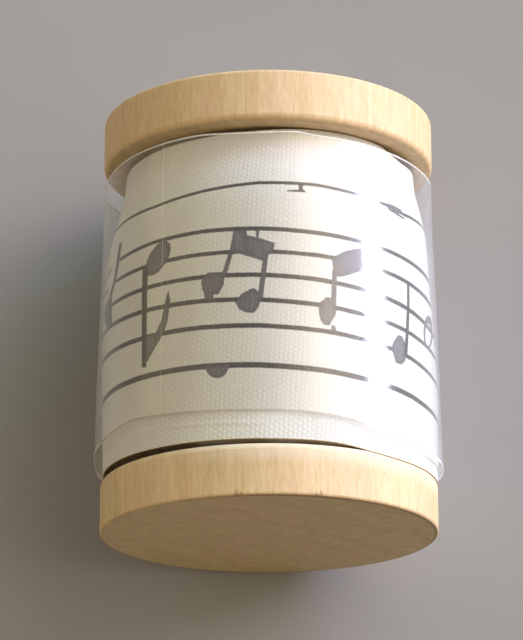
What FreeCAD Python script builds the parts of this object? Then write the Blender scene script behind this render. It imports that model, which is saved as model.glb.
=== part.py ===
import FreeCAD, Part
import math
import os

# Ribbon spool lying on its side.
# Row frame: origin at the centre of the spool, +Y along the spool axis (towards
# the far flange), +Z up, +X to the right.  All lengths are millimetres.

# ---------------------------------------------------------------- dimensions
flange_radius = 21.0          # both end flanges, 42 mm across
flange_thickness = 6.5
flange_gap = 40.8             # clear length of barrel between the flanges
outer_edge_round = 0.4        # eased edge next to each end face
inner_edge_round = 0.8        # softer edge on the ribbon side of each flange

core_radius = 13.0            # barrel that the ribbon is wound on
spigot_radius = 7.0           # glued spigot at each end of the barrel
spigot_length = 3.8
socket_depth = 4.0            # blind socket in each flange, 0.2 mm glue space
spigot_chamfer = 0.4

ribbon_width = 40.0           # width of the woven tape
ribbon_pitch = 0.26           # radial growth of one turn
ribbon_end_angle = -140.0     # where the outer end lies, from +Z towards +X
# outer surface of the wound roll: (place along the axis, radius); the roll is
# pinched in at the far flange and full at the near one
ribbon_profile = [(-19.85, 20.60), (-10.0, 20.78), (0.0, 20.75), (4.0, 20.60),
                  (8.0, 20.30), (10.5, 20.00), (12.5, 19.60), (14.5, 19.05),
                  (17.0, 18.45), (20.05, 18.25)]

start_tape_thickness = 0.10   # double-sided pad under the first turn
start_tape_width = 30.0
start_tape_sweep = 55.0       # degrees of the barrel that it covers

film_thickness = 0.05
film_half_height = 20.90      # outside, at the top and at the bottom
# outside half width of the loose clear sleeve: (place along the axis, size);
# it stands off the roll at the sides, more so towards its near end
film_profile = [(-19.2, 21.80), (-16.5, 21.70), (-10.0, 21.58), (-5.0, 21.42),
                (0.0, 21.33), (6.0, 21.15), (11.0, 20.97), (18.9, 20.91)]
# the near end of the sleeve is cut askew, in the plane through these two places
film_cut_middle = -17.2       # place of the cut on the spool's own axis
film_cut_lean = -1.6          # how much further it lies at the +X side
seam_from = -34.3             # lap seam of the sleeve, degrees from +Z to +X
seam_to = -21.0

# ------------------------------------------------------------------- helpers
V = FreeCAD.Vector
half_gap = flange_gap / 2.0
half_length = half_gap + flange_thickness
AXIS = V(0, 1, 0)


def cyl(radius, length, y0):
    return Part.makeCylinder(radius, length, V(0, y0, 0), AXIS)


def revolve(points):
    """Solid of revolution about the spool axis from (radius, y) points."""
    wire = Part.makePolygon([V(r, y, 0) for r, y in points] +
                            [V(points[0][0], points[0][1], 0)])
    return Part.Face(wire).revolve(V(0, 0, 0), AXIS, 360)


def revolve_smooth(profile, inner_radius, shrink=0.0):
    """Ring whose outer wall is one smooth curve through the profile."""
    pts = [V(r - shrink, y, 0) for y, r in profile]
    curve = Part.BSplineCurve()
    curve.interpolate(pts)
    a, b = pts[0], pts[-1]
    edges = [curve.toShape(),
             Part.makeLine(b, V(inner_radius, b.y, 0)),
             Part.makeLine(V(inner_radius, b.y, 0), V(inner_radius, a.y, 0)),
             Part.makeLine(V(inner_radius, a.y, 0), a)]
    return Part.Face(Part.Wire(edges)).revolve(V(0, 0, 0), AXIS, 360)


def direction(angle):
    """Unit vector across the axis, angle in degrees from +Z towards +X."""
    t = math.radians(angle)
    return V(math.sin(t), 0, math.cos(t))


def wedge(angle0, angle1, radius, y0, y1):
    """Sector of the space round the axis between two angles."""
    steps = max(2, int(abs(angle1 - angle0) / 20.0) + 1)
    ring = [direction(angle0 + (angle1 - angle0) * i / steps) * radius
            for i in range(steps + 1)]
    base = [V(0, y0, 0)] + [V(p.x, y0, p.z) for p in ring]
    wire = Part.makePolygon(base + [base[0]])
    return Part.Face(wire).extrude(V(0, y1 - y0, 0))


def round_edges(solid, y, radius, size):
    """Round the circular edge of the given radius that lies at y."""
    picked = []
    for e in solid.Edges:
        c = e.Curve
        if isinstance(c, Part.Circle) and abs(c.Center.y - y) < 1e-6 \
                and abs(c.Radius - radius) < 1e-6:
            picked.append(e)
    return solid.makeFillet(size, picked)


def ellipse_wire(half_width, half_height, y):
    e = Part.Ellipse(V(half_width, y, 0), V(0, y, half_height), V(0, y, 0))
    return Part.Wire(e.toShape())


def sleeve(grow):
    """Filled elliptical body whose skin is the sleeve's outside plus grow."""
    wires = [ellipse_wire(a + grow, film_half_height + grow, y)
             for y, a in film_profile]
    return Part.makeLoft(wires, True, False)


# -------------------------------------------------------------------- pieces
def make_flange(side):
    """End disc; side is -1 for the near one and +1 for the far one."""
    inner_y = side * half_gap
    outer_y = side * half_length
    y0 = min(inner_y, outer_y)
    disc = cyl(flange_radius, flange_thickness, y0)
    disc = round_edges(disc, outer_y, flange_radius, outer_edge_round)
    disc = round_edges(disc, inner_y, flange_radius, inner_edge_round)
    s0 = inner_y if side > 0 else inner_y - socket_depth
    return disc.cut(cyl(spigot_radius, socket_depth, s0))


def make_core():
    tip = half_gap + spigot_length
    c = spigot_chamfer
    return revolve([(0, -tip), (spigot_radius - c, -tip),
                    (spigot_radius, -tip + c), (spigot_radius, -half_gap),
                    (core_radius, -half_gap), (core_radius, half_gap),
                    (spigot_radius, half_gap), (spigot_radius, tip - c),
                    (spigot_radius - c, tip), (0, tip)])


def make_start_tape():
    shell = cyl(core_radius + start_tape_thickness, start_tape_width,
                -start_tape_width / 2.0)
    shell = shell.cut(cyl(core_radius, start_tape_width,
                          -start_tape_width / 2.0))
    return shell.common(wedge(20.0, 20.0 + start_tape_sweep, 40.0,
                              -start_tape_width, start_tape_width))


def make_ribbon(tape):
    """Wound roll.  One half is round; the other half is set over by half a
    turn's thickness, so its wall grows like a spiral and leaves one step, the
    thickness of the tape, where the outer end lies."""
    e = ribbon_pitch / 2.0
    full = revolve_smooth(ribbon_profile, core_radius)
    small = revolve_smooth(ribbon_profile, core_radius - 1.0, e)
    shift = direction(ribbon_end_angle + 180.0) * e
    small.translate(shift)
    big = 60.0
    half_a = wedge(ribbon_end_angle - 180.0, ribbon_end_angle, big, -40, 40)
    half_b = wedge(ribbon_end_angle, ribbon_end_angle + 180.0, big, -40, 40)
    roll = full.common(half_a).fuse(small.common(half_b)).removeSplitter()
    roll = roll.cut(cyl(core_radius, 60.0, -30.0))
    return roll.cut(tape)


def make_film():
    body = sleeve(0.0).cut(sleeve(-film_thickness))
    lap = sleeve(film_thickness).cut(sleeve(0.0))
    lap = lap.common(wedge(seam_from, seam_to, 40.0, -30, 30))
    big = 40.0
    lean = film_cut_lean * big / flange_radius
    profile = Part.makePolygon([V(-big, -big, -big),
                                V(-big, film_cut_middle - lean, -big),
                                V(big, film_cut_middle + lean, -big),
                                V(big, -big, -big), V(-big, -big, -big)])
    waste = Part.Face(profile).extrude(V(0, 0, 2 * big))
    return body.fuse(lap).cut(waste)


def single(shape, name):
    """The one solid of a shape, checked."""
    solids = shape.Solids
    assert len(solids) == 1, (name, len(solids))
    s = solids[0]
    assert s.isValid() and s.Volume > 0, name
    return s


os.makedirs("parts", exist_ok=True)

start_tape = make_start_tape()
pieces = {
    "near_flange": make_flange(-1),
    "far_flange": make_flange(1),
    "core_barrel": make_core(),
    "ribbon_start_tape": start_tape,
    "ribbon_roll": make_ribbon(start_tape),
    "film_sleeve": make_film(),
}
for name, shape in pieces.items():
    s = single(shape, name)
    s.exportStep("parts/%s.step" % name)
    b = s.BoundBox
    print("%-18s volume %9.1f mm3  x %7.2f %7.2f  y %7.2f %7.2f  z %7.2f %7.2f"
          % (name, s.Volume, b.XMin, b.XMax, b.YMin, b.YMax, b.ZMin, b.ZMax))
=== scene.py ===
import bpy
import math
import numpy as np
from mathutils import Matrix, Vector


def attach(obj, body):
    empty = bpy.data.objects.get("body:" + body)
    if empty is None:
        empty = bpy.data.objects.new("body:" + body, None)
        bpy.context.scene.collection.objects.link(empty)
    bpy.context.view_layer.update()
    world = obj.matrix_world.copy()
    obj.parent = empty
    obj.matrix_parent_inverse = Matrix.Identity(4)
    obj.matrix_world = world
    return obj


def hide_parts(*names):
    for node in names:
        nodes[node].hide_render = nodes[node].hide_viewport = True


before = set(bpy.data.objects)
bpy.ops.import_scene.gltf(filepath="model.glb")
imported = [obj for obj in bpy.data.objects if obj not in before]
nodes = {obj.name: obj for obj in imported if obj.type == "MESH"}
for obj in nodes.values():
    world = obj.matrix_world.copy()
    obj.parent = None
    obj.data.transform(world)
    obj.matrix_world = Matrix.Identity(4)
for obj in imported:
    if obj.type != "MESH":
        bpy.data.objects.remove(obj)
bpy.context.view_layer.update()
MM = 0.001

# ------------------------------------------------------------------ sizes, mm
# Angles run from +Z towards +X, in degrees.  Y is the place along the spool.
FLANGE_R = 21.0
CORE_R = 13.0
FLOOR_Z = -21.0

# outer surface of the wound ribbon: (Y, radius)
ROLL = [(-20.4, 20.60), (-19.4, 20.60), (-10.0, 20.78), (0.0, 20.75),
        (4.0, 20.60), (8.0, 20.30), (10.5, 20.00), (12.5, 19.60),
        (14.5, 19.05), (17.0, 18.45), (20.4, 18.25)]
# the pinch at the far flange is filled out along the top: (angle, share)
FILL_OUT = [(-180, 0.0), (-70, 0.0), (-45, 0.15), (-20, 0.72), (0, 0.85),
            (30, 0.80), (50, 0.60), (70, 0.25), (85, 0.0), (180, 0.0)]
# how far the loose last turn stands off at the -X and +X sides, mm
SLACK_LEFT = [(-20.4, 0.20), (-17, 0.21), (-10, 0.24), (-3, 0.33), (2.5, 0.38),
              (5, 0.26), (9, 0.22), (11, 0.03), (13, -0.13), (15, -0.06),
              (17, -0.03), (20.4, -0.25)]
SLACK_RIGHT = [(-20.4, 0.45), (-10, 0.45), (-4, 0.27), (3, -0.10), (6, -0.05),
               (10, 0.12), (15, 0.40), (20.4, 0.25)]
RIBBON_T = 0.16
RIBBON_END = 220.0
RIBBON_TURNS = 29.0
LAY_K = 20.75 * math.pi / 180.0       # mm of ribbon per degree on the last turn
REPEAT = 180.0 * LAY_K                # the print repeats every half turn

# cross rows of the ribbon, in its own flat millimetres
INNER_ROWS = [-20.0, -19.2, -18.4, -17.6, -16.8, -15.6, -11.2, -8.6, -6.1, -2.9, 0.1, 3.1, 6.1,
              9.1, 12.1, 16.0, 20.0]
ROW_SPLIT = 4
# where seven straight threads of the flat ribbon lie on the wound roll:
# flat place across, then Y at -80, -60 ... 80 degrees
LAY_ANGLES = [-80.0, -60.0, -40.0, -20.0, 0.0, 20.0, 40.0, 60.0, 80.0]
LAY = [
    (-11.2, [-10.54, -10.41, -10.43, -10.57, -10.84, -11.23, -11.73, -12.33, -13.03]),
    (-6.1, [-5.28, -5.41, -5.54, -5.70, -5.95, -6.31, -6.82, -7.51, -8.44]),
    (-2.9, [-1.85, -1.93, -2.10, -2.35, -2.68, -3.11, -3.64, -4.26, -4.99]),
    (0.1, [0.63, 0.77, 0.80, 0.71, 0.48, 0.10, -0.47, -1.24, -2.23]),
    (3.1, [3.38, 3.59, 3.66, 3.61, 3.46, 3.20, 2.85, 2.41, 1.89]),
    (6.1, [5.61, 6.25, 6.54, 6.57, 6.39, 6.07, 5.70, 5.33, 5.04]),
    (12.1, [11.55, 11.50, 11.39, 11.93, 12.47, 12.46, 11.90, 11.36, 11.94]),
]

# clear sleeve: outside half width at each Y, heights, and its two cut edges
FILM_T = 0.05
FILM_WIDE = [(-20.0, 21.83), (-18.5, 21.80), (-16.5, 21.70), (-10.0, 21.58),
             (-5.0, 21.42), (0.0, 21.33), (6.0, 21.15), (11.0, 20.95),
             (20.0, 20.885)]
FILM_TOP = 20.90
FILM_BOTTOM = 20.93
FILM_IN = -21.0
FILM_OUT = -394.3
FILM_NEAR = [(-180, -17.8), (-140, -18.0), (-115, -18.3), (-100, -18.4),
             (-95, -18.2), (-90, -17.6), (-85, -17.0), (-78, -16.85),
             (-72, -16.8), (-66, -16.6), (-55, -16.1), (-47, -15.8),
             (-34, -16.1), (-19, -16.42), (-3, -16.6), (14, -16.7),
             (24, -16.95), (31, -17.2), (43, -18.1), (51, -18.5),
             (62, -18.8), (74, -19.0), (85, -18.9), (95, -19.1),
             (105, -18.9), (130, -18.4), (155, -18.0), (180, -17.8)]
FILM_FAR = [(-180, 18.5), (-120, 18.3), (-90, 18.1), (-69, 18.3), (-61, 18.6),
            (-52, 18.85), (-41, 18.95), (-30, 19.0), (-20, 19.05),
            (-11, 18.85), (-2, 18.78), (6, 18.9), (14, 19.0), (20, 18.65),
            (27, 18.65), (40, 18.45), (56, 18.3), (68, 18.2), (90, 18.3),
            (120, 18.5), (150, 18.6), (180, 18.5)]


def interp(x, table):
    xs, ys = zip(*table)
    return np.interp(x, xs, ys)


def smooth(x, a, b):
    t = np.clip((np.asarray(x, float) - a) / (b - a), 0.0, 1.0)
    return t * t * (3 - 2 * t)


def smooth_curve(x, table, spread):
    """Interpolated table with its corners eased over the given width."""
    offs = np.linspace(-1, 1, 9)
    wts = 1 - np.abs(offs) * 0.9
    out = sum(w * interp(x + o * spread, table) for o, w in zip(offs, wts))
    return out / wts.sum()


def periodic_curve(deg, table, spread=2.0):
    d = (np.asarray(deg, float) + 180.0) % 360.0 - 180.0
    ext = [(a - 360, v) for a, v in table[:-1]] + list(table) + \
          [(a + 360, v) for a, v in table[1:]]
    return smooth_curve(d, ext, spread)


def waves(seed, count, lo, hi, across):
    """Fixed set of slow sine waves over angle and Y, about one unit high."""
    rng = np.random.default_rng(seed)
    k = np.round(rng.uniform(lo, hi, count))
    m = rng.uniform(-across, across, count)
    p = rng.uniform(0, 2 * math.pi, count)
    a = rng.uniform(0.5, 1.0, count)

    def f(deg, y):
        t = np.radians(deg)
        s = 0.0
        for i in range(count):
            s = s + a[i] * np.sin(k[i] * t + m[i] * y + p[i])
        return s / math.sqrt(count)
    return f


# ------------------------------------------------------------ mesh utilities
def make_object(name, verts, faces, uvs=None, sharp=35.0):
    """Mesh object in metres from millimetre points; uvs maps name -> list of
    per-corner pairs."""
    me = bpy.data.meshes.new(name)
    me.from_pydata([tuple(float(c) * MM for c in v) for v in verts], [], faces)
    if uvs:
        for uvname, flat in uvs.items():
            layer = me.uv_layers.new(name=uvname)
            layer.data.foreach_set("uv", np.asarray(flat, np.float32).ravel())
    me.polygons.foreach_set("use_smooth", [True] * len(me.polygons))
    me.validate()
    me.set_sharp_from_angle(angle=math.radians(sharp))
    me.update()
    ob = bpy.data.objects.new(name, me)
    bpy.context.scene.collection.objects.link(ob)
    return ob


# -------------------------------------------------------------- shader helper
class Tree:
    def __init__(self, name):
        self.mat = bpy.data.materials.new(name)
        self.mat.use_nodes = True
        self.t = self.mat.node_tree
        self.t.nodes.clear()
        self.out = self.t.nodes.new("ShaderNodeOutputMaterial")
        self.x = 0

    def node(self, kind, **props):
        n = self.t.nodes.new(kind)
        for k, v in props.items():
            setattr(n, k, v)
        self.x += 1
        n.location = (-200 + (self.x % 40) * 160, -(self.x // 40) * 220)
        return n

    def put(self, socket, value):
        if value is None:
            return
        if isinstance(value, bpy.types.NodeSocket):
            self.t.links.new(value, socket)
        else:
            socket.default_value = value

    def math(self, op, a, b=None, c=None, clamp=False):
        n = self.node("ShaderNodeMath", operation=op, use_clamp=clamp)
        for i, v in enumerate((a, b, c)):
            if v is not None:
                self.put(n.inputs[i], v)
        return n.outputs[0]

    def vec(self, op, a, b=None, c=None, scale=None):
        n = self.node("ShaderNodeVectorMath", operation=op)
        for i, v in enumerate((a, b, c)):
            if v is not None:
                self.put(n.inputs[i], v)
        if scale is not None:
            self.put(n.inputs["Scale"], scale)
        return n.outputs["Value"] if op in ("DOT_PRODUCT", "LENGTH", "DISTANCE") \
            else n.outputs["Vector"]

    def combine(self, x, y, z=0.0):
        n = self.node("ShaderNodeCombineXYZ")
        for i, v in enumerate((x, y, z)):
            self.put(n.inputs[i], v)
        return n.outputs[0]

    def split(self, v):
        n = self.node("ShaderNodeSeparateXYZ")
        self.put(n.inputs[0], v)
        return n.outputs

    def coord(self, which="Object"):
        return self.node("ShaderNodeTexCoord").outputs[which]

    def uv(self, name):
        n = self.node("ShaderNodeUVMap", uv_map=name)
        return n.outputs[0]

    def noise(self, vector, scale, detail=3.0, rough=0.55, distortion=0.0,
              colour=False):
        n = self.node("ShaderNodeTexNoise", noise_dimensions="3D")
        self.put(n.inputs["Vector"], vector)
        self.put(n.inputs["Scale"], scale)
        self.put(n.inputs["Detail"], detail)
        self.put(n.inputs["Roughness"], rough)
        self.put(n.inputs["Distortion"], distortion)
        return n.outputs["Color"] if colour else n.outputs["Fac"]

    def voronoi(self, vector, scale, feature="F1", randomness=1.0):
        n = self.node("ShaderNodeTexVoronoi", feature=feature)
        self.put(n.inputs["Vector"], vector)
        self.put(n.inputs["Scale"], scale)
        self.put(n.inputs["Randomness"], randomness)
        return n.outputs["Distance"]

    def white(self, vector):
        n = self.node("ShaderNodeTexWhiteNoise", noise_dimensions="3D")
        self.put(n.inputs["Vector"], vector)
        return n.outputs["Value"]

    def step(self, value, a, b, lo=0.0, hi=1.0):
        n = self.node("ShaderNodeMapRange", interpolation_type="SMOOTHSTEP")
        self.put(n.inputs["Value"], value)
        n.inputs["From Min"].default_value = a
        n.inputs["From Max"].default_value = b
        n.inputs["To Min"].default_value = lo
        n.inputs["To Max"].default_value = hi
        return n.outputs["Result"]

    def line(self, value, a, b, lo=0.0, hi=1.0):
        n = self.node("ShaderNodeMapRange", interpolation_type="LINEAR")
        n.clamp = True
        self.put(n.inputs["Value"], value)
        n.inputs["From Min"].default_value = a
        n.inputs["From Max"].default_value = b
        n.inputs["To Min"].default_value = lo
        n.inputs["To Max"].default_value = hi
        return n.outputs["Result"]

    def mix(self, fac, a, b, mode="MIX"):
        n = self.node("ShaderNodeMix", data_type="RGBA", blend_type=mode)
        n.clamp_factor = True
        self.put(n.inputs[0], fac)
        self.put(n.inputs[6], a)
        self.put(n.inputs[7], b)
        return n.outputs[2]

    def bump(self, height, distance, strength=1.0, normal=None):
        n = self.node("ShaderNodeBump")
        n.inputs["Strength"].default_value = strength
        n.inputs["Distance"].default_value = distance
        self.put(n.inputs["Height"], height)
        if normal is not None:
            self.put(n.inputs["Normal"], normal)
        return n.outputs[0]

    def surface(self, shader):
        self.t.links.new(shader, self.out.inputs["Surface"])


def grey(v):
    return (v, v, v, 1.0)


def rgb(r, g, b):
    return (r, g, b, 1.0)


# ------------------------------------------------------------ wood material
def wood(name, base, dark, pith, seed, end_tone=0.83, chips=(), painted_rim_light=False,
         end_cols=(rgb(0.850, 0.625, 0.385), rgb(0.600, 0.415, 0.235)), clouded=0.3,
         ring_show=0.5):
    """Pale close-grained wood with its grain along Y.  Short fibres run along
    the rim, and the end faces show soft rings and the pore ends.  chips are
    (x, y, z, size) of small tear-outs, mm.  The rim-light flag marks the disc
    that gets a pale painted highlight band on its rim next to the ribbon and a
    dark painted shade line along its outer corner, both weaker towards -X."""
    t = Tree(name)
    here = t.vec("MULTIPLY", t.coord("Object"), (1000.0, 1000.0, 1000.0))
    mm = t.vec("ADD", here, (seed * 13.7, 0.0, seed * 7.1))
    fibre = t.vec("MULTIPLY", mm, (1.0, 0.07, 1.0))
    short = t.vec("MULTIPLY", mm, (1.0, 0.15, 1.0))
    coarse = t.noise(fibre, 1.15, 4.0, 0.62)
    fine = t.noise(short, 3.6, 3.0, 0.65)
    fleck = t.noise(t.vec("ADD", short, (7.0, 3.0, 11.0)), 1.9, 2.0, 0.6)
    broad = t.noise(t.vec("MULTIPLY", mm, (1.0, 0.16, 1.0)), 0.13, 3.0, 0.5)
    # growth rings of uneven width about a pith outside the disc
    drift = t.vec("SCALE", t.noise(t.vec("MULTIPLY", mm, (1.0, 0.12, 1.0)),
                                   0.085, 3.0, 0.55, colour=True), scale=11.0)
    rel = t.vec("MULTIPLY", t.vec("ADD", t.vec("SUBTRACT", here, pith), drift),
                (1.0, 0.0, 1.0))
    dist = t.vec("LENGTH", rel)
    rings = t.noise(t.combine(t.math("MULTIPLY", dist, 0.46), seed, 0.0),
                    1.0, 3.0, 0.62)
    # small dashes of pores and rays
    dash = t.step(t.voronoi(t.vec("MULTIPLY", mm, (1.0, 0.16, 1.0)), 1.55),
                  0.03, 0.17, 1.0, 0.0)
    nrm = t.split(t.coord("Normal"))
    end = t.step(t.math("ABSOLUTE", nrm[1]), 0.60, 0.95)

    def part(value, lo, hi, weight):
        return t.math("MULTIPLY", t.line(value, lo, hi, -0.5, 0.5), weight)

    amount = t.math("ADD", 0.47, part(rings, 0.33, 0.67, 0.24))
    for value, weight in ((coarse, 0.30), (fine, 0.46), (fleck, 0.34), (broad, 0.24)):
        amount = t.math("ADD", amount, part(value, 0.31, 0.69, weight))
    amount = t.math("ADD", amount, t.math("MULTIPLY", dash, 0.24), clamp=True)
    col = t.mix(amount, base, dark)
    # slow drift between olive and orange
    hue = t.line(t.noise(t.vec("MULTIPLY", mm, (1.0, 0.45, 1.0)), 0.22, 3.0, 0.55),
                 0.34, 0.66)
    tint = t.mix(hue, rgb(0.93, 1.02, 0.80), rgb(1.06, 0.98, 1.0))
    col = t.mix(0.35, col, t.mix(1.0, col, tint, mode="MULTIPLY"))

    # end grain drinks more light and is clouded in two tones
    cloud = t.line(t.noise(t.vec("MULTIPLY", mm, (1.0, 1.0, 0.6)), 0.20, 4.0, 0.6,
                           0.8), 0.38, 0.62)
    mott = t.line(t.noise(mm, 0.75, 4.0, 0.65), 0.3, 0.7, 0.89, 1.10)
    endcol = t.mix(t.math("MULTIPLY", t.line(rings, 0.38, 0.62), ring_show),
                   end_cols[0], end_cols[1])
    pores = t.step(t.voronoi(t.vec("ADD", mm, (3.0, 0.0, 9.0)), 1.9), 0.10, 0.26,
                   1.0, 0.0)
    endcol = t.mix(t.math("MULTIPLY", pores, 0.22), endcol, rgb(0.36, 0.25, 0.13))
    endtint = t.mix(cloud, rgb(0.94, 1.03, 0.93), rgb(1.05, 0.97, 1.02))
    endcol = t.mix(clouded, endcol, t.mix(1.0, endcol, endtint, mode="MULTIPLY"))
    endcol = t.vec("SCALE", endcol, scale=t.math("MULTIPLY", mott, end_tone))
    col = t.mix(end, col, endcol)

    # painted light on the near disc: a pale painted highlight band and a dark painted shade
    # line, both weaker towards -X
    if painted_rim_light:
        px, py, pz = t.split(here)
        rad = t.vec("LENGTH", t.combine(px, 0.0, pz))
        # painted highlight: pale band on the rim and eased inner edge next to the ribbon,
        # fading out towards -X
        pale = t.math("MULTIPLY", t.step(py, -23.3, -21.2),
                      t.step(px, -12.0, -1.0))
        col = t.mix(t.math("MULTIPLY", pale, 0.50), col, rgb(0.90, 0.80, 0.62))
        # painted shade: dark line along the eased outer corner, weaker towards -X
        ring = t.math("MULTIPLY", t.step(rad, 20.50, 20.66),
                      t.step(py, -26.78, -26.68, 1.0, 0.0))
        ring = t.math("MULTIPLY", ring, t.step(px, -12.0, 6.0, 0.12, 0.80))
        col = t.mix(ring, col, rgb(0.25, 0.155, 0.085))

    # handling: pale rubbed flecks and small dark nicks
    rub = t.step(t.noise(mm, 0.8, 5.0, 0.75), 0.62, 0.78)
    col = t.mix(t.math("MULTIPLY", rub, 0.30), col, rgb(0.86, 0.74, 0.56))
    nick = t.step(t.noise(t.vec("ADD", mm, (31.0, 7.0, 3.0)), 1.1, 3.0, 0.7),
                  0.72, 0.77)
    for x, y, z, size in chips:
        off = t.vec("MULTIPLY", t.vec("SUBTRACT", here, (x, y, z)),
                    (1.0 / size, 0.45 / size, 1.0 / size))
        d = t.vec("LENGTH", t.vec("ADD", off, t.vec("SCALE", t.vec(
            "SUBTRACT", t.noise(here, 3.0, 2.0, 0.6, colour=True),
            (0.5, 0.5, 0.5)), scale=1.4)))
        nick = t.math("MAXIMUM", nick, t.step(d, 0.7, 1.15, 1.0, 0.0))
    col = t.mix(t.math("MULTIPLY", nick, 0.5), col, rgb(0.30, 0.20, 0.11))
    # end grain is sanded smoother than the rim
    height = t.math("SUBTRACT", 1.0, t.math("MULTIPLY", amount, t.math(
        "SUBTRACT", 1.0, t.math("MULTIPLY", end, 0.6))))
    height = t.math("ADD", height, t.math("MULTIPLY", fine, 0.9))
    height = t.math("SUBTRACT", height, t.math("MULTIPLY", nick, 1.2))
    bs = t.node("ShaderNodeBsdfPrincipled")
    t.put(bs.inputs["Base Color"], col)
    t.put(bs.inputs["Roughness"],
          t.line(t.noise(fibre, 3.0, 3.0, 0.6), 0.3, 0.7, 0.50, 0.70))
    bs.inputs["IOR"].default_value = 1.45
    bs.inputs["Specular IOR Level"].default_value = 0.30
    t.put(bs.inputs["Normal"], t.bump(height, 0.00003, 0.8))
    t.surface(bs.outputs[0])
    return t.mat


# --------------------------------------------------------- printed cotton
def half_planes(points):
    """Unit outward half planes of a convex outline."""
    c = np.mean(np.array(points, float), axis=0)
    out = []
    n = len(points)
    for i in range(n):
        a = np.array(points[i], float)
        b = np.array(points[(i + 1) % n], float)
        e = b - a
        ln = float(np.hypot(*e))
        if ln < 1e-6:
            continue
        nx, ny = e[1] / ln, -e[0] / ln
        d = nx * a[0] + ny * a[1]
        if nx * c[0] + ny * c[1] > d:
            nx, ny, d = -nx, -ny, -d
        out.append((float(nx), float(ny), float(-d)))
    return out


# note shapes of the print, flat millimetres (along, across)
STEMS = [
    [(-15.14, 2.77), (-16.17, 3.04), (-16.05, -9.9), (-15.21, -10.08)],
    [(13.29, 2.25), (13.43, 2.29), (13.53, 6.21), (13.38, 6.17)],
    [(20.04, -6.28), (20.76, -6.03), (22.22, 3.37), (21.56, 3.15)],
    [(-23.08, 5.68), (-22.13, 5.27), (-21.76, 8.59), (-22.71, 8.98)],
    [(-23.08, 5.68), (-23.43, 3.67), (-22.53, 3.32), (-22.13, 5.27)],
    [(-24.78, 1.84), (-23.66, 1.45), (-22.53, 3.32), (-23.43, 3.67)],
    [(-23.66, 1.45), (-24.78, 1.84), (-24.3, -2.71), (-23.37, -2.98)],
    [(5.12, 10.99), (5.66, 11.02), (5.70, 12.05), (5.16, 12.02)],
    [(3.65, 10.96), (6.01, 10.95), (5.96, 11.30), (3.66, 11.14)],
]
FILLS = [
    [(-3.43, 3.62), (-4.48, 0.04), (-3.89, 0.0), (-2.83, 3.59)],
    [(-0.03, -2.71), (0.62, -2.69), (1.29, 2.64), (0.68, 2.62)],
    [(8.98, -2.06), (9.59, -4.17), (9.88, 1.7), (9.21, 1.58)],
    [(-12.79, -4.53), (-11.84, -4.93), (-11.39, -2.31), (-11.7, -0.97), (-12.03, -1.63)],
    [(-13.66, -5.84), (-13.39, -7.32), (-12.5, -6.16), (-11.84, -4.93), (-12.79, -4.53)],
    [(-15.06, -9.35), (-13.39, -7.32), (-13.66, -5.84), (-15.49, -5.71), (-15.45, -9.17)],
    [(-3.43, 3.32), (-1.22, 2.45), (-1.36, 5.92), (-2.99, 5.94)],
    [(2.11, 4.27), (-1.60, 5.36), (-1.55, 2.62), (0.58, 1.88), (1.9, 3.17)],
    [(-6.43, -2.18), (-4.85, -2.22), (-4.2, -1.09), (-4.08, 0.01), (-4.34, 0.54),
     (-6.16, 0.62), (-6.85, 0.15), (-7.07, -0.64), (-6.93, -1.52)],
    [(-6.76, -1.66), (-6.56, -2.83), (-5.49, -2.9), (-5.52, -1.75)],
    [(-1.95, -2.21), (-2.74, -3.2), (-2.25, -4.13), (-1.34, -4.54), (-0.43, -4.53),
     (0.03, -3.94), (0.39, -2.93), (0.09, -1.87), (-0.54, -1.5)],
    [(0.19, 5.91), (-0.31, 5.9), (-0.15, 4.84), (0.13, 4.84)],
    [(13.33, 2.29), (13.48, 5.29), (13.26, 5.24), (11.06, 4.31), (9.17, 3.04),
     (9.24, 2.43), (9.46, 1.14), (10.06, 0.83), (11.74, 1.54)],
    [(7.4, -3.8), (7.62, -4.76), (8.02, -5.33), (8.75, -5.26), (9.41, -4.09),
     (9.64, -3.15), (9.65, -2.65), (9.01, -1.81), (8.41, -1.81), (7.5, -2.64)],
    [(8.96, -5.93), (9.67, -5.8), (9.48, -5.2), (9.02, -5.16)],
    [(19.83, -3.86), (19.01, -3.94), (18.05, -5.14), (17.75, -5.96), (18.1, -6.98),
     (18.39, -7.75), (19.36, -7.71), (20.24, -6.94), (20.72, -5.65), (20.28, -4.42)],
    [(-25.65, 1.59), (-27.26, 1.02), (-26.86, -1.22), (-24.99, -3.17), (-23.37, -2.85),
     (-23.82, 1.22)],
    [(18.33, 11.51), (19.98, 11.45), (21.07, 12.05), (21.55, 12.57), (18.5, 12.51)],
    [(20.05, 11.76), (19.82, 11.36), (21.92, 11.42), (22.08, 11.68)],
]
# an open note head: outline and its hole
OPEN_HEAD = [(25.33, -1.32), (25.36, -2.46), (25.84, -3.11), (26.67, -3.09),
             (27.76, -2.34), (29.01, -0.91), (30.1, 0.48), (30.16, 1.31),
             (29.11, 1.68), (27.77, 1.52), (26.6, 0.94), (25.76, 0.03)]
OPEN_HOLE = [(25.89, -2.24), (26.18, -2.71), (26.69, -2.72), (27.33, -2.23),
             (27.97, -1.35), (28.44, -0.31), (28.48, 0.4), (28.08, 0.69),
             (27.41, 0.63), (26.72, 0.26), (26.19, -0.5), (25.89, -1.44)]
# lines of the print: (across, width, where it starts after the tall stem)
STAFF = [(12.1, 0.46, None), (6.1, 0.56, -21.95), (3.1, 0.55, -22.6),
         (0.1, 0.57, -23.7), (-2.9, 0.57, None), (-6.1, 0.60, None),
         (-11.2, 0.70, None)]


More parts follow.
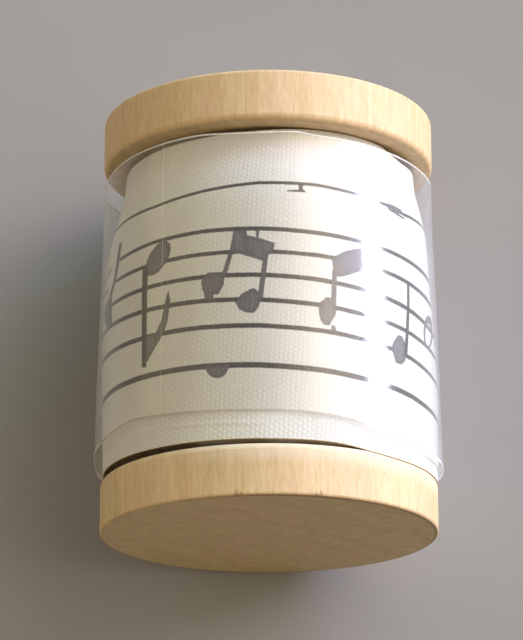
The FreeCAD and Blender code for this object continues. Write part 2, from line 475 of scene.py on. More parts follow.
def printed_cotton(name):
    t = Tree(name)
    uv = t.uv("lay")
    x0, y0, _ = t.split(uv)
    # the print repeats along the ribbon
    per = REPEAT
    shifted = t.math("DIVIDE", t.math("ADD", x0, 31.6), per)
    xm = t.math("SUBTRACT", t.math("MULTIPLY", t.math("FRACT", shifted), per), 31.6)
    # ragged edges: the ink follows the threads
    cell_x = t.math("MULTIPLY", t.math("FLOOR", t.math("DIVIDE", x0, 0.28)), 0.28)
    cell_y = t.math("MULTIPLY", t.math("FLOOR", t.math("DIVIDE", y0, 0.32)), 0.32)
    cell = t.combine(cell_x, cell_y, 0.0)
    wn = t.node("ShaderNodeTexWhiteNoise", noise_dimensions="3D")
    t.put(wn.inputs["Vector"], cell)
    jit = t.vec("MULTIPLY", t.vec("SUBTRACT", wn.outputs["Color"], (0.5, 0.5, 0.5)),
                (0.035, 0.035, 0.0))
    slow = t.vec("MULTIPLY", t.vec("SUBTRACT", t.noise(
        t.combine(x0, y0, 0.0), 1.5, 3.0, 0.6, colour=True), (0.5, 0.5, 0.5)),
        (0.10, 0.10, 0.0))
    q = t.vec("ADD", t.vec("ADD", t.combine(xm, y0, 1.0), jit), slow)
    qx, qy, _ = t.split(q)

    def convex(acc, pts):
        m = None
        for hp in half_planes(pts):
            d = t.vec("DOT_PRODUCT", q, hp)
            m = d if m is None else t.math("MAXIMUM", m, d)
        return m if acc is None else t.math("MINIMUM", acc, m)

    def ellipse(cx, cy, a, b, rot):
        c, s = math.cos(math.radians(rot)), math.sin(math.radians(rot))
        ex = t.vec("DOT_PRODUCT", q, (c / a, s / a, -(c * cx + s * cy) / a))
        ey = t.vec("DOT_PRODUCT", q, (-s / b, c / b, (s * cx - c * cy) / b))
        ln = t.vec("LENGTH", t.combine(ex, ey, 0.0))
        return t.math("MULTIPLY", t.math("SUBTRACT", ln, 1.0), min(a, b))

    stems = None
    for pts in STEMS:
        stems = convex(stems, pts)
    fills = None
    for pts in FILLS:
        fills = convex(fills, pts)
    fills = t.math("MINIMUM", fills, ellipse(-13.60, 3.73, 2.51, 1.64, 47.7))
    ring = t.math("MAXIMUM", convex(None, OPEN_HEAD),
                  t.math("MULTIPLY", convex(None, OPEN_HOLE), -1.0))
    fills = t.math("MINIMUM", fills, ring)
    disc = t.math("MAXIMUM", ellipse(-5.02, -11.10, 1.60, 1.49, 109.8),
                  t.math("ADD", qy, 11.10))
    fills = t.math("MINIMUM", fills, disc)

    lines = None
    # three lines leave a bare stretch just before the tall stem
    for c, w, begin in STAFF:
        d = t.math("SUBTRACT", t.math("ABSOLUTE", t.math("SUBTRACT", qy, c)), w / 2)
        if begin is not None:
            bare = t.math("MINIMUM", t.math("SUBTRACT", begin, qx),
                          t.math("ADD", qx, 3.2 - begin))
            d = t.math("MAXIMUM", d, bare)
        lines = d if lines is None else t.math("MINIMUM", lines, d)

    soft = 0.07
    m_line = t.step(lines, -soft, soft, 1.0, 0.0)
    m_stem = t.step(stems, -soft, soft, 1.0, 0.0)
    m_fill = t.step(fills, -soft, soft, 1.0, 0.0)

    # weave: staggered thread crests, 0.57 mm apart along the ribbon
    wob = t.vec("MULTIPLY", t.vec("SUBTRACT", t.noise(
        t.combine(x0, y0, 3.0), 0.7, 3.0, 0.6, colour=True), (0.5, 0.5, 0.5)),
        (3.4, 3.4, 0.0))
    wx, wy, _ = t.split(wob)

    def thread(kx, ky, wobble):
        arg = t.math("ADD", t.math("MULTIPLY", x0, 2 * math.pi * kx),
                     t.math("MULTIPLY", y0, 2 * math.pi * ky))
        return t.math("COSINE", t.math("ADD", arg, wobble))

    c_diag = thread(0.93, 1.47, wy)
    c_col = thread(1.76, -0.12, wx)
    c_other = thread(0.83, -1.59, t.math("SUBTRACT", wx, wy))
    lattice = t.math("ADD", t.math("MULTIPLY", c_diag, 0.33), t.math(
        "ADD", t.math("MULTIPLY", c_col, 0.46), t.math("MULTIPLY", c_other, 0.28)))
    strength = t.line(t.noise(t.combine(x0, y0, 14.0), 0.55, 3.0, 0.6), 0.35, 0.65,
                      0.45, 1.25)
    lattice = t.math("MULTIPLY", lattice, strength)
    weave = t.math("MULTIPLY_ADD", lattice, 0.5, 0.5, clamp=True)
    slub_x = t.noise(t.vec("MULTIPLY", t.combine(x0, y0, 0.0), (3.5, 0.25, 1.0)),
                     1.0, 2.0, 0.5)
    slub_y = t.noise(t.vec("MULTIPLY", t.combine(x0, y0, 5.0), (0.22, 3.1, 1.0)),
                     1.0, 2.0, 0.5)
    slub = t.math("MULTIPLY", t.math("ADD", slub_x, slub_y), 0.5)
    broad = t.noise(t.combine(x0, y0, 9.0), 0.09, 3.0, 0.5)
    fuzz = t.noise(t.combine(x0, y0, 21.0), 2.4, 3.0, 0.65)

    cloth = t.mix(t.line(broad, 0.3, 0.7), rgb(0.80, 0.765, 0.70),
                  rgb(0.76, 0.73, 0.675))
    tone = t.math("ADD", t.line(weave, 0.0, 1.0, 0.905, 1.070),
                  t.line(slub, 0.3, 0.7, -0.04, 0.04))
    tone = t.math("ADD", tone, t.line(fuzz, 0.3, 0.7, -0.025, 0.025))
    # painted shade: the cut edges of the turns are coloured dark brown to stand for the
    # shadowed gaps at the flanges
    rim = t.step(t.math("ABSOLUTE", y0), 19.90, 19.985)
    cloth = t.mix(t.math("MULTIPLY", rim, 0.9), cloth, rgb(0.60, 0.42, 0.20))
    ink_noise = t.line(t.noise(t.vec("MULTIPLY", t.combine(x0, y0, 1.0),
                                     (2.6, 0.5, 1.0)), 1.0, 3.0, 0.6), 0.3, 0.7,
                       0.84, 1.18)
    # the ink lies heavier along the outline of each filled shape
    pooled = t.math("MULTIPLY", ink_noise, t.step(fills, -0.75, -0.10, 1.14, 0.86))
    fill_ink = t.vec("SCALE", (0.150, 0.135, 0.140), scale=pooled)
    line_ink = t.vec("SCALE", (0.062, 0.052, 0.046), scale=ink_noise)
    # thread tops keep a little of the cloth
    hold = t.line(weave, 0.0, 1.0, 1.0, 0.955)
    col = t.mix(t.math("MULTIPLY", m_line, hold), cloth, line_ink)
    col = t.mix(t.math("MULTIPLY", m_fill, hold), col, fill_ink)
    col = t.mix(t.math("MULTIPLY", m_stem, hold), col, line_ink)
    col = t.vec("SCALE", col, scale=tone)

    height = t.math("ADD", weave, t.math("MULTIPLY", slub, 0.9))
    bs = t.node("ShaderNodeBsdfPrincipled")
    t.put(bs.inputs["Base Color"], col)
    t.put(bs.inputs["Roughness"], t.line(weave, 0.0, 1.0, 0.92, 0.82))
    bs.inputs["Specular IOR Level"].default_value = 0.25
    bs.inputs["Sheen Weight"].default_value = 0.12
    bs.inputs["Sheen Roughness"].default_value = 0.5
    t.put(bs.inputs["Normal"], t.bump(height, 0.00003, 0.9))
    t.surface(bs.outputs[0])
    return t.mat


# ----------------------------------------------------------- clear film
def clear_film(name):
    t = Tree(name)
    lw = t.node("ShaderNodeLayerWeight")
    lw.inputs["Blend"].default_value = 0.5
    facing = lw.outputs["Facing"]
    f5 = t.math("POWER", facing, 5.0)
    fres = t.math("MULTIPLY_ADD", f5, 0.95, 0.040)
    mm = t.vec("MULTIPLY", t.coord("Object"), (1000.0, 1000.0, 1000.0))
    haze = t.noise(mm, 0.5, 4.0, 0.6)
    ripple = t.noise(t.vec("MULTIPLY", mm, (1.0, 0.35, 1.0)), 0.16, 3.0, 0.5)
    scuff = t.noise(t.vec("MULTIPLY", mm, (1.0, 0.5, 1.0)), 2.4, 4.0, 0.7)
    height = t.math("ADD", ripple, t.math("MULTIPLY", scuff, 0.012))
    glossy = t.node("ShaderNodeBsdfGlossy", distribution="GGX")
    glossy.inputs["Color"].default_value = (1, 1, 1, 1)
    t.put(glossy.inputs["Roughness"], t.line(haze, 0.3, 0.7, 0.10, 0.17))
    skin = t.bump(height, 0.0002, 0.5)
    t.put(glossy.inputs["Normal"], skin)
    # fine scratches throw a faint wide glow about each highlight
    veil = t.node("ShaderNodeBsdfGlossy", distribution="GGX")
    veil.inputs["Color"].default_value = (1, 1, 1, 1)
    veil.inputs["Roughness"].default_value = 0.42
    t.put(veil.inputs["Normal"], skin)
    shine = t.node("ShaderNodeMixShader")
    t.put(shine.inputs[0], t.line(scuff, 0.3, 0.7, 0.22, 0.34))
    t.t.links.new(glossy.outputs[0], shine.inputs[1])
    t.t.links.new(veil.outputs[0], shine.inputs[2])
    clear = t.node("ShaderNodeBsdfTransparent")
    clear.inputs["Color"].default_value = (1.0, 0.999, 0.996, 1.0)
    # a little milk in the film, seen mostly where it is looked along
    milk = t.node("ShaderNodeBsdfDiffuse")
    milk.inputs["Color"].default_value = (0.92, 0.92, 0.92, 1)
    body = t.node("ShaderNodeMixShader")
    t.put(body.inputs[0], t.math("MULTIPLY_ADD", t.math("POWER", facing, 3.0), 0.17,
                                 t.line(haze, 0.3, 0.7, 0.003, 0.008)))
    t.t.links.new(clear.outputs[0], body.inputs[1])
    t.t.links.new(milk.outputs[0], body.inputs[2])
    mixs = t.node("ShaderNodeMixShader")
    t.put(mixs.inputs[0], fres)
    t.t.links.new(body.outputs[0], mixs.inputs[1])
    t.t.links.new(shine.outputs[0], mixs.inputs[2])
    t.surface(mixs.outputs[0])
    return t.mat


def film_bonded(name):
    """Where the two layers of the lap cling together there is no air between
    them, so the faces inside neither mirror nor veil."""
    t = Tree(name)
    mm = t.vec("MULTIPLY", t.coord("Object"), (1000.0, 1000.0, 1000.0))
    n = t.noise(mm, 1.3, 3.0, 0.5)
    clear = t.node("ShaderNodeBsdfTransparent")
    clear.inputs["Color"].default_value = (1.0, 0.999, 0.996, 1.0)
    milk = t.node("ShaderNodeBsdfDiffuse")
    milk.inputs["Color"].default_value = (0.90, 0.90, 0.89, 1)
    mixs = t.node("ShaderNodeMixShader")
    t.put(mixs.inputs[0], t.line(n, 0.35, 0.65, 0.0, 0.004))
    t.t.links.new(clear.outputs[0], mixs.inputs[1])
    t.t.links.new(milk.outputs[0], mixs.inputs[2])
    t.surface(mixs.outputs[0])
    return t.mat


def film_edge(name, low, high, cover, sides=None):
    """Painted light on the cut edge of the film: its last tenth of a
    millimetre gets a denser colour that stands for the light and shade there,
    painted shadow where the colour is dark and painted highlight where pale.
    sides is its colour where it turns down at the two sides, a painted highlight."""
    t = Tree(name)
    mm = t.vec("MULTIPLY", t.coord("Object"), (1000.0, 1000.0, 1000.0))
    n = t.noise(mm, 0.9, 4.0, 0.65)
    bs = t.node("ShaderNodeBsdfPrincipled")
    # painted shadow where the tone is dark, painted highlight where it is pale
    tone = t.mix(t.line(n, 0.3, 0.7), low, high)
    if sides is not None:
        # painted highlight where the edge turns down at the two sides
        out = t.step(t.math("ABSOLUTE", t.split(mm)[0]), 19.4, 20.9)
        tone = t.mix(out, tone, sides)
    t.put(bs.inputs["Base Color"], tone)
    t.put(bs.inputs["Roughness"], t.line(n, 0.3, 0.7, 0.12, 0.3))
    clear = t.node("ShaderNodeBsdfTransparent")
    clear.inputs["Color"].default_value = (1.0, 1.0, 1.0, 1.0)
    mixs = t.node("ShaderNodeMixShader")
    dense = t.line(n, 0.35, 0.65, cover * 0.75, cover)
    if sides is not None:
        dense = t.math("MULTIPLY_ADD", out, 0.72 - cover, dense)
    t.put(mixs.inputs[0], dense)
    t.t.links.new(clear.outputs[0], mixs.inputs[1])
    t.t.links.new(bs.outputs[0], mixs.inputs[2])
    t.surface(mixs.outputs[0])
    return t.mat


def pad_material(name):
    """Double-sided adhesive pad."""
    t = Tree(name)
    mm = t.vec("MULTIPLY", t.coord("Object"), (1000.0, 1000.0, 1000.0))
    n = t.noise(mm, 0.8, 4.0, 0.6)
    col = t.mix(t.line(n, 0.3, 0.7), rgb(0.78, 0.72, 0.58), rgb(0.86, 0.82, 0.70))
    bs = t.node("ShaderNodeBsdfPrincipled")
    t.put(bs.inputs["Base Color"], col)
    t.put(bs.inputs["Roughness"], t.line(n, 0.3, 0.7, 0.3, 0.5))
    t.put(bs.inputs["Normal"], t.bump(n, 0.00002, 0.5))
    t.surface(bs.outputs[0])
    return t.mat


# ------------------------------------------------------------- ribbon mesh
# the near edge of the last turn and of the turns below it, by angle: it
# closes on the flange at the +X side and stands off at the -X side
NEAR_EDGE = [(-180, -19.7), (-90, -19.62), (-60, -19.62), (-30, -19.74),
             (0, -19.88), (20, -19.94), (27, -20.04), (35, -20.30), (42, -20.62),
             (50, -20.80), (60, -20.84), (90, -20.84), (110, -20.70),
             (130, -20.34), (150, -20.0), (180, -19.7)]
NEAR_BELOW = [(-180, -19.3), (-90, -18.6), (-50, -18.6), (-35, -19.0),
              (-20, -19.66), (20, -19.90), (35, -20.15), (45, -20.30),
              (110, -20.30), (150, -19.8), (180, -19.3)]
FAR_EDGE = [(-180, 20.0), (-100, 19.75), (-60, 19.5), (-40, 19.55), (-20, 19.6),
            (0, 19.9), (20, 20.25), (43, 20.3), (54, 20.1), (61, 19.45),
            (69, 19.25), (77, 19.5), (90, 20.0), (180, 20.0)]
lay_tabs = [np.array(v) for _, v in LAY]
lay_nom = np.array([c for c, _ in LAY])


def lay_y(theta, rows):
    """Y of the given cross rows (flat mm) at an angle of the last turn."""
    th = (theta + 180.0) % 360.0 - 180.0
    near = float(smooth_curve(th, NEAR_EDGE, 5.0))
    far = float(smooth_curve(th, FAR_EDGE, 4.0))
    measured = np.array([np.interp(th, LAY_ANGLES, tab) for tab in lay_tabs])
    a = abs(th)
    back = near + (lay_nom + 20.0) / 40.0 * (far - near)
    k = float(smooth(a, 84.0, 135.0))
    ys = measured * (1 - k) + back * k
    return np.interp(rows, np.concatenate([[-20.0], lay_nom, [20.0]]),
                     np.concatenate([[near], ys, [far]]))


roll_wave = waves(7, 9, 3, 16, 0.10)
edge_wave = waves(11, 12, 2, 40, 0.0)


def build_ribbon():
    fine_rows = []
    for a, b in zip(INNER_ROWS[:-1], INNER_ROWS[1:]):
        fine_rows += [a + (b - a) * i / ROW_SPLIT for i in range(ROW_SPLIT)]
    fine_rows.append(INNER_ROWS[-1])
    fine_rows = np.array(fine_rows)
    coarse_rows = np.array(INNER_ROWS)
    start = RIBBON_END - 360.0 * RIBBON_TURNS
    outer_from = RIBBON_END - 378.0
    coarse = np.arange(start, outer_from - 0.01, 6.0)
    fine = np.arange(outer_from, RIBBON_END + 0.01, 0.75)

    def surface(theta, rows, under):
        back = (RIBBON_END - theta) / 360.0        # turns below the end
        outer = smooth(back, 1.12, 0.98)
        ys_out = lay_y(theta, rows)
        rng_y = 0.09 * edge_wave(theta * 0.37 + 13.0 * math.floor(back), 0.0)
        below = float(smooth_curve((theta + 180.0) % 360.0 - 180.0, NEAR_BELOW, 5.0))
        # the turns below sit a little further in than the last one
        beyond = min(19.32, ys_out[-1] - 0.30)
        ys_in = below + (rows + 20.0) / 40.0 * (beyond - below) + rng_y
        ys = ys_out * outer + ys_in * (1 - outer)
        ys = np.clip(ys, -20.33 - 0.55 * outer, 20.36)
        prof = smooth_curve(ys, ROLL, 0.6)
        filled = float(smooth_curve((theta + 180.0) % 360.0 - 180.0, FILL_OUT, 8.0))
        filled = filled * np.interp(ys, [10.5, 16.5], [0.62, 0.0])
        prof = prof + filled * np.clip(20.72 - prof, 0.0, None)
        pitch = (prof - 13.28) / (RIBBON_TURNS - 130.0 / 360.0)
        r = prof + pitch * ((theta - 90.0) / 360.0)
        share = np.clip((r - 13.2) / 7.5, 0.0, 1.0)
        wave = 0.035 * roll_wave(theta, ys) * share
        sn = math.sin(math.radians(theta))
        slack = abs(sn) ** 2.5 * smooth_curve(ys, SLACK_LEFT if sn < 0 else
                                              SLACK_RIGHT, 1.2)
        wave = wave + np.minimum(slack, 0.0) * share + \
            np.maximum(slack, 0.0) * outer
        # edge of the turn below telegraphs as a low ridge near the near edge
        th = (theta + 180.0) % 360.0 - 180.0
        ridge_y = -17.2 - 0.7 * (th + 45.0) / 40.0
        ridge = np.exp(-((ys - ridge_y) / 0.16) ** 2) * \
            float(smooth(th, -52, -40) * smooth(th, 6, -8))
        wave = wave + 0.07 * ridge * outer
        r = r + wave
        # where it is widest the last turn rides up on the flange's eased edge
        eased = 20.2 + np.sqrt(np.clip(0.64 - (ys + 21.2) ** 2, 0.0, None))
        r = np.where(ys < -20.4, np.maximum(r, eased + RIBBON_T + 0.02), r)
        r = r - (RIBBON_T if under else 0.0)
        t = math.radians(theta)
        return np.stack([r * math.sin(t), ys, r * math.cos(t)], 1)

    verts, cols = [], []

    def add(theta, rows, split):
        top = surface(theta, rows, False)
        bot = surface(theta, rows, True)
        i0 = len(verts)
        verts.extend(top.tolist())
        verts.extend(bot.tolist())
        cols.append((theta, rows, i0, i0 + len(rows), split))

    for th in coarse:
        add(float(th), coarse_rows, False)
    for th in fine:
        add(float(th), fine_rows, True)

    # distance along the strip
    along = [LAY_K * cols[-1][0]]
    for c0, c1 in zip(cols[-2::-1], cols[:0:-1]):
        dth = c1[0] - c0[0]
        turns = (RIBBON_END - c0[0]) / 360.0
        r = 20.75 if turns < 1.05 else max(13.2, 20.75 - 0.262 * (turns - 1.05))
        along.append(along[-1] - dth * math.pi / 180.0 * r)
    along = along[::-1]

    faces, lay, bake = [], [], []
    lo, hi = fine_rows[0], fine_rows[-1]

    def corner(ci, rowvalue, top):
        th = cols[ci][0]
        s = along[ci]
        lay.append((s, rowvalue))
        v = (rowvalue - lo) / (hi - lo)
        if top and th >= RIBBON_END - 360.0 - 1e-6 and cols[ci][4]:
            k = th - (RIBBON_END - 360.0)
            half = 1 if k > 180.0 + 1e-6 else 0
            bake.append(("top", k, v, half))
        else:
            bake.append(("rest", (th - start) / (RIBBON_END - start), v, top))

    def face(idx, corners):
        faces.append(idx)
        b0 = len(bake)
        for ci, rv, top in corners:
            corner(ci, rv, top)
        part = bake[b0:]
        tops = [c for c in part if c[0] == "top"]
        if len(tops) == len(part):
            mid = sum(c[1] for c in part) / len(part)
            half = 1 if mid > 180.0 else 0
            for i, c in enumerate(part):
                u = (c[1] - 180.0 * half) / 180.0
                bake[b0 + i] = (0.002 + 0.996 * u,
                                0.045 + 0.475 * half + 0.002 + 0.471 * c[2])
        else:
            for i, (ci, rv, top) in enumerate(corners):
                u = (cols[ci][0] - start) / (RIBBON_END - start)
                v = (rv - lo) / (hi - lo)
                bake[b0 + i] = (0.002 + 0.996 * u,
                                (0.002 if top else 0.022) + 0.018 * v)

    for ci in range(len(cols) - 1):
        a, b = cols[ci], cols[ci + 1]
        ra, rb = a[1], b[1]
        if len(ra) == len(rb):
            for j in range(len(ra) - 1):
                face([a[2] + j, b[2] + j, b[2] + j + 1, a[2] + j + 1],
                     [(ci, ra[j], True), (ci + 1, rb[j], True),
                      (ci + 1, rb[j + 1], True), (ci, ra[j + 1], True)])
                face([a[3] + j, a[3] + j + 1, b[3] + j + 1, b[3] + j],
                     [(ci, ra[j], False), (ci, ra[j + 1], False),
                      (ci + 1, rb[j + 1], False), (ci + 1, rb[j], False)])
        else:
            for j in range(len(ra) - 1):
                js = list(range(j * ROW_SPLIT, (j + 1) * ROW_SPLIT + 1))
                face([a[2] + j] + [b[2] + k for k in js] + [a[2] + j + 1],
                     [(ci, ra[j], True)] + [(ci + 1, rb[k], True) for k in js] +
                     [(ci, ra[j + 1], True)])
                face([a[3] + j + 1] + [b[3] + k for k in js[::-1]] + [a[3] + j],
                     [(ci, ra[j + 1], False)] +
                     [(ci + 1, rb[k], False) for k in js[::-1]] +
                     [(ci, ra[j], False)])
        na, nb = len(ra) - 1, len(rb) - 1
        face([a[2], a[3], b[3], b[2]],
             [(ci, ra[0], True), (ci, ra[0], False), (ci + 1, rb[0], False),
              (ci + 1, rb[0], True)])
        face([a[2] + na, b[2] + nb, b[3] + nb, a[3] + na],
             [(ci, ra[na], True), (ci + 1, rb[nb], True),
              (ci + 1, rb[nb], False), (ci, ra[na], False)])
    for ci, flip in ((0, False), (len(cols) - 1, True)):
        c = cols[ci]
        for j in range(len(c[1]) - 1):
            idx = [c[2] + j, c[2] + j + 1, c[3] + j + 1, c[3] + j]
            cr = [(ci, c[1][j], True), (ci, c[1][j + 1], True),
                  (ci, c[1][j + 1], False), (ci, c[1][j], False)]
            if flip:
                idx, cr = idx[::-1], cr[::-1]
            face(idx, cr)
    length = along[-1] - along[0]
    ob = make_object("printed_ribbon", verts, faces,
                     {"lay": lay, "OFBake": bake}, sharp=40.0)
    return ob, length


ribbon, ribbon_length = build_ribbon()
print("ribbon length mm", round(ribbon_length, 1), "faces", len(ribbon.data.polygons))
ribbon.data.materials.append(printed_cotton("cotton_printed"))
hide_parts("ribbon_roll")
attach(ribbon, "spool")


# --------------------------------------------------------------- film mesh
film_wave = waves(23, 10, 2, 9, 0.16)
film_wave2 = waves(29, 8, 8, 22, 0.35)


def build_film():
    cols_th = np.arange(FILM_IN, FILM_OUT - 0.001, -1.0)
    cols_th = np.append(cols_th, [FILM_OUT + 0.24, FILM_OUT])
    nrow = 31
    verts, cols = [], []

    def point(theta, grow):
        near = float(periodic_curve(theta, FILM_NEAR))
        far = float(periodic_curve(theta, FILM_FAR))
        lip = 0.30 + 0.10 * abs(math.sin(math.radians(theta))) ** 12
        ys = np.concatenate([[near], np.linspace(near + lip, far - 0.27, nrow - 3),
                             [far - 0.08, far]])
        a = smooth_curve(ys, FILM_WIDE, 1.0)
        t = math.radians(theta)
        bb = FILM_TOP if math.cos(t) > 0 else FILM_BOTTOM
        r = 1.0 / np.sqrt((math.sin(t) / a) ** 2 + (math.cos(t) / bb) ** 2)
        r = r - FILM_T / 2
        # the lap: the outer end lies on the inner end
        lap = 0.068 * float(smooth(theta, -345.0, -380.0))
        side = abs(math.sin(t)) ** 1.5
        w = (0.010 + 0.045 * side) * film_wave(theta, ys) + \
            (0.004 + 0.016 * side) * film_wave2(theta, ys)
        # the near edge lifts a little at the left
        th = (theta + 180.0) % 360.0 - 180.0
        lift = 0.06 * math.exp(-((th + 86.0) / 14.0) ** 2) * \
            np.exp(-((ys - near) / 1.3) ** 2)
        r = r + lap + w + lift + grow
        return np.stack([r * math.sin(t), ys, r * math.cos(t)], 1)

    for th in cols_th:
        top = point(float(th), FILM_T / 2)
        bot = point(float(th), -FILM_T / 2)
        i0 = len(verts)
        verts.extend(top.tolist())
        verts.extend(bot.tolist())
        cols.append((i0, i0 + nrow))
    faces, uv, edge = [], [], []
    n = len(cols)

    # kind 1 is the near edge's painted shadow, 2 the far lip's painted highlight, 3 the
    # outermost far row's painted shadow, 4 the bonded lap
    def edge_kind(j, last, angle=0.0, under=False):
        # inside the lap the layers are stuck together
        if (not under and angle > FILM_OUT + 360.0) or \
                (under and angle < FILM_IN - 360.0):
            return 4
        if j == 0:
            return 1
        if j == nrow - 2:
            return 3
        return 2 if j == nrow - 3 else 0

    def add(idx, uvs, is_edge):
        faces.append(idx)
        uv.extend(uvs)
        edge.append(is_edge)

    for c in range(n - 1):
        a, b = cols[c], cols[c + 1]
        u0, u1 = c / (n - 1), (c + 1) / (n - 1)
        last = c == n - 2
        angle = (cols_th[c] + cols_th[c + 1]) / 2
        for j in range(nrow - 1):
            v0, v1 = j / (nrow - 1), (j + 1) / (nrow - 1)
            add([a[0] + j, a[0] + j + 1, b[0] + j + 1, b[0] + j],
                [(u0, 0.02 + v0 * 0.46), (u0, 0.02 + v1 * 0.46),
                 (u1, 0.02 + v1 * 0.46), (u1, 0.02 + v0 * 0.46)],
                edge_kind(j, last, angle))
            add([a[1] + j, b[1] + j, b[1] + j + 1, a[1] + j + 1],
                [(u0, 0.52 + v0 * 0.46), (u1, 0.52 + v0 * 0.46),
                 (u1, 0.52 + v1 * 0.46), (u0, 0.52 + v1 * 0.46)],
                edge_kind(j, last, angle, True))
        k = nrow - 1
        add([a[0], b[0], b[1], a[1]],
            [(u0, 0.0), (u1, 0.0), (u1, 0.01), (u0, 0.01)], 1)
        add([a[0] + k, a[1] + k, b[1] + k, b[0] + k],
            [(u0, 0.99), (u0, 1.0), (u1, 1.0), (u1, 0.99)], 3)
    for c, flip in ((0, True), (n - 1, False)):
        for j in range(nrow - 1):
            v0, v1 = j / (nrow - 1), (j + 1) / (nrow - 1)
            idx = [cols[c][0] + j, cols[c][0] + j + 1, cols[c][1] + j + 1, cols[c][1] + j]
            uu = [(v0, 0.486), (v1, 0.486), (v1, 0.496), (v0, 0.496)]
            if flip:
                idx, uu = idx[::-1], uu[::-1]
            add(idx, uu, 4 if c == 0 else 2)
    ob = make_object("film_wrap", verts, faces, {"OFBake": uv}, sharp=40.0)
    ob.data.materials.append(clear_film("film_clear"))
    # near cut edge: a brown painted shadow line, with painted highlights where it turns down
    # at the sides
    ob.data.materials.append(film_edge("film_edge_near_painted_light", rgb(0.30, 0.22, 0.15),
                                       rgb(0.50, 0.42, 0.33), 0.24,
                                       rgb(0.90, 0.89, 0.88)))
    # far lip: a pale painted highlight line
    ob.data.materials.append(film_edge("film_edge_far_painted_highlight", rgb(0.84, 0.79, 0.70),
                                       rgb(0.95, 0.92, 0.86), 0.72))
    # outermost far row: a dark painted shadow line, with painted highlights at the sides
    ob.data.materials.append(film_edge("film_edge_rim_painted_light", rgb(0.16, 0.11, 0.07),
                                       rgb(0.34, 0.26, 0.18), 0.60,
                                       rgb(0.80, 0.79, 0.78)))
    ob.data.materials.append(film_bonded("film_bonded"))
    ob.data.polygons.foreach_set("material_index", edge)
    ob.data.update()
    return ob


film = build_film()
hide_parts("film_sleeve")
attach(film, "sleeve")


def finish_node(name, mat):
    me = nodes[name].data
    me.materials.clear()
    me.materials.append(mat)


def rim_spot(deg, y, size, radius=20.9):
    a = math.radians(deg)
    return (radius * math.sin(a), y, radius * math.cos(a), size)


WOOD_LIGHT = rgb(0.870, 0.640, 0.405)
WOOD_DARK = rgb(0.660, 0.447, 0.238)
# the near disc carries the painted highlight band and the painted shade line on its rim
finish_node("near_flange", wood(
    "beech_near", WOOD_LIGHT, WOOD_DARK, (-64.0, 0.0, -52.0), 3.0,
    chips=[rim_spot(-7.1, -26.75, 0.30), rim_spot(-5.6, -26.8, 0.20),
           rim_spot(18.9, -26.75, 0.22), rim_spot(20.4, -26.7, 0.28),
           rim_spot(128.0, -26.7, 0.35), rim_spot(-150.0, -20.6, 0.30)],
    painted_rim_light=True, clouded=0.5, ring_show=0.55,
    end_cols=(rgb(0.736, 0.579, 0.412), rgb(0.640, 0.492, 0.342))))
finish_node("far_flange", wood(
    "beech_far", WOOD_LIGHT, WOOD_DARK, (58.0, 0.0, 60.0), 8.0,
    chips=[rim_spot(60.0, 26.7, 0.25), rim_spot(-165.0, 20.7, 0.30)]))
finish_node("core_barrel", wood(
    "beech_core", WOOD_LIGHT, WOOD_DARK, (-9.0, 0.0, 40.0), 14.0))
finish_node("ribbon_start_tape", pad_material("adhesive_pad_pale"))


# -------------------------------------------------------------------- floor
def floor_material(name):
    t = Tree(name)
    p = t.coord("Object")
    n = t.noise(p, 60.0, 3.0, 0.5)
    col = t.mix(t.line(n, 0.3, 0.7), FLOOR_COLOUR, FLOOR_COLOUR_B)
    bs = t.node("ShaderNodeBsdfPrincipled")
    t.put(bs.inputs["Base Color"], col)
    bs.inputs["Roughness"].default_value = 0.9
    bs.inputs["Specular IOR Level"].default_value = 0.1
    t.surface(bs.outputs[0])
    return t.mat


FLOOR_COLOUR = rgb(0.379, 0.358, 0.352)
FLOOR_COLOUR_B = rgb(0.386, 0.366, 0.359)
bpy.ops.mesh.primitive_grid_add(x_subdivisions=8, y_subdivisions=8, size=6.0,
                                location=(0, 0, FLOOR_Z * MM))
floor = bpy.context.object
floor.name = "floor"
floor.data.materials.append(floor_material("floor_plain"))

# ------------------------------------------------------------------- lights
# name, azimuth (from +X towards +Y), elevation, distance, width, height,
# soft share of each side, red green blue watts
LIGHTS = [
    ("window", 19.0, 11.0, 1.2, 0.50, 0.50, 0.24, (8.4, 8.5, 9.4)),
    ("window_wide", 39.0, 15.5, 1.2, 1.15, 0.95, 0.50, (7.6, 7.0, 12.8)),
]
# broad soft light from the room: azimuth, elevation, tightness, and what it
# throws on a face turned to it
GLOW = [
    (28.0, 45.0, 12.0, (1.16, 0.82, 0.42)),
    (0.0, 45.0, 12.0, (0.774, 0.841, 0.829)),
    (60.0, 14.0, 12.0, (0.329, 1.306, 1.357)),
    (168.0, 12.0, 3.5, (0.93, 0.82, 0.52)),
    (-90.0, 14.0, 12.0, (0.564, 0.397, 0.085)),
    (135.0, 45.0, 12.0, (0.12, 0.09, 0.12)),
    (140.0, 70.0, 6.0, (0.17, 0.18, 0.19)),
]
WORLD = (0.006, 0.006, 0.006)


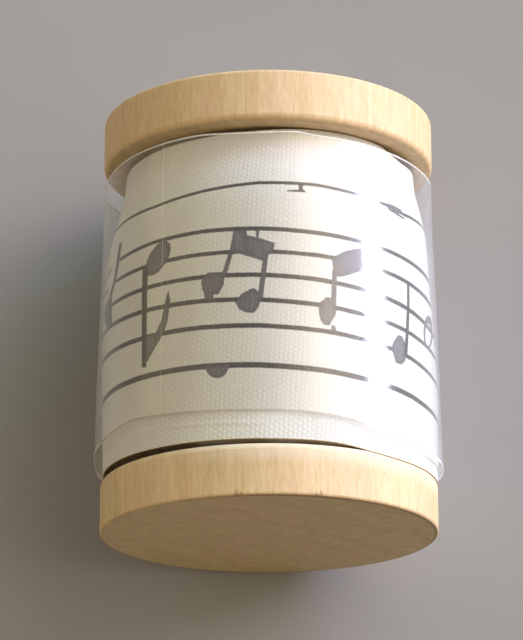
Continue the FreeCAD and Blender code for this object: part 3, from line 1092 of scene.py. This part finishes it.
def add_light(name, az, el, dist, w, h, soft, watt):
    li = bpy.data.lights.new(name, "AREA")
    li.shape = "RECTANGLE"
    li.size = w
    li.size_y = h
    top = max(watt)
    mean = (1.0 - soft) ** 2
    li.energy = top / mean
    li.color = tuple(c / top for c in watt)
    li.use_nodes = True
    nt = li.node_tree
    em = nt.nodes["Emission"]
    geo = nt.nodes.new("ShaderNodeNewGeometry")
    sep = nt.nodes.new("ShaderNodeSeparateXYZ")
    nt.links.new(geo.outputs["Parametric"], sep.inputs[0])
    parts = []
    for k in (0, 1):
        d = nt.nodes.new("ShaderNodeMath")
        d.operation = "SUBTRACT"
        nt.links.new(sep.outputs[k], d.inputs[0])
        d.inputs[1].default_value = 0.5
        a = nt.nodes.new("ShaderNodeMath")
        a.operation = "ABSOLUTE"
        nt.links.new(d.outputs[0], a.inputs[0])
        m = nt.nodes.new("ShaderNodeMapRange")
        m.interpolation_type = "SMOOTHSTEP"
        m.inputs["From Min"].default_value = 0.5 - soft
        m.inputs["From Max"].default_value = 0.5
        m.inputs["To Min"].default_value = 1.0
        m.inputs["To Max"].default_value = 0.0
        nt.links.new(a.outputs[0], m.inputs["Value"])
        parts.append(m.outputs["Result"])
    mu = nt.nodes.new("ShaderNodeMath")
    mu.operation = "MULTIPLY"
    nt.links.new(parts[0], mu.inputs[0])
    nt.links.new(parts[1], mu.inputs[1])
    nt.links.new(mu.outputs[0], em.inputs["Strength"])
    ob = bpy.data.objects.new(name, li)
    a, e = math.radians(az), math.radians(el)
    d = Vector((math.cos(a) * math.cos(e), math.sin(a) * math.cos(e), math.sin(e)))
    ob.location = d * dist
    ob.rotation_euler = d.to_track_quat("Z", "Y").to_euler()
    bpy.context.scene.collection.objects.link(ob)
    return ob


for spec in LIGHTS:
    add_light(*spec)
world = bpy.data.worlds.new("studio")
world.use_nodes = True



def room_glow(nt, lobes, base):
    """Even room light plus broad cosine lobes, as one sky colour."""
    bg = nt.nodes["Background"]
    tex = nt.nodes.new("ShaderNodeTexCoord")
    unit = nt.nodes.new("ShaderNodeVectorMath")
    unit.operation = "NORMALIZE"
    nt.links.new(tex.outputs["Generated"], unit.inputs[0])
    total = None
    for az, el, tight, power in lobes:
        a, e = math.radians(az), math.radians(el)
        dot = nt.nodes.new("ShaderNodeVectorMath")
        dot.operation = "DOT_PRODUCT"
        nt.links.new(unit.outputs[0], dot.inputs[0])
        dot.inputs[1].default_value = (math.cos(a) * math.cos(e),
                                       math.sin(a) * math.cos(e), math.sin(e))
        top = nt.nodes.new("ShaderNodeMath")
        top.operation = "MAXIMUM"
        nt.links.new(dot.outputs["Value"], top.inputs[0])
        top.inputs[1].default_value = 0.0
        powr = nt.nodes.new("ShaderNodeMath")
        powr.operation = "POWER"
        nt.links.new(top.outputs[0], powr.inputs[0])
        powr.inputs[1].default_value = tight
        k = (tight + 2.0) / (2.0 * math.pi)
        lobe = nt.nodes.new("ShaderNodeVectorMath")
        lobe.operation = "SCALE"
        lobe.inputs[0].default_value = tuple(k * c for c in power)
        nt.links.new(powr.outputs[0], lobe.inputs["Scale"])
        add = nt.nodes.new("ShaderNodeVectorMath")
        add.operation = "ADD"
        nt.links.new(lobe.outputs[0], add.inputs[0])
        if total is None:
            add.inputs[1].default_value = base
        else:
            nt.links.new(total, add.inputs[1])
        total = add.outputs[0]
    nt.links.new(total, bg.inputs[0])
    bg.inputs[1].default_value = 1.0


room_glow(world.node_tree, GLOW, WORLD)
bpy.context.scene.world = world
bpy.context.scene.view_settings.view_transform = "Standard"

# ------------------------------------------------------------------- camera
cam = bpy.data.cameras.new("camera")
cam.sensor_width = 36.0
cam.sensor_fit = "AUTO"
cam.lens = 36.0 * 3149.5061931836367 / 640.0
cam.clip_start = 0.01
cam.clip_end = 20.0
cam_ob = bpy.data.objects.new("camera", cam)
bpy.context.scene.collection.objects.link(cam_ob)
rx, ry, rz = -0.3001523975118861, 0.060872267301694614, -0.02121921804922884
shift_t = Vector((0.041717837752019614, 0.051376887493196195, 18.973499577459414))
flip = Matrix(((1, 0, 0), (0, -1, 0), (0, 0, -1)))
view_m = (Matrix.Rotation(rz, 3, "Z") @ Matrix.Rotation(ry, 3, "Y") @
          Matrix.Rotation(rx, 3, "X")) @ flip
place = -(view_m.transposed() @ shift_t) * FLANGE_R * MM
rot = (flip @ view_m).transposed()
cam_ob.matrix_world = Matrix.Translation(place) @ rot.to_4x4()
bpy.context.scene.camera = cam_ob
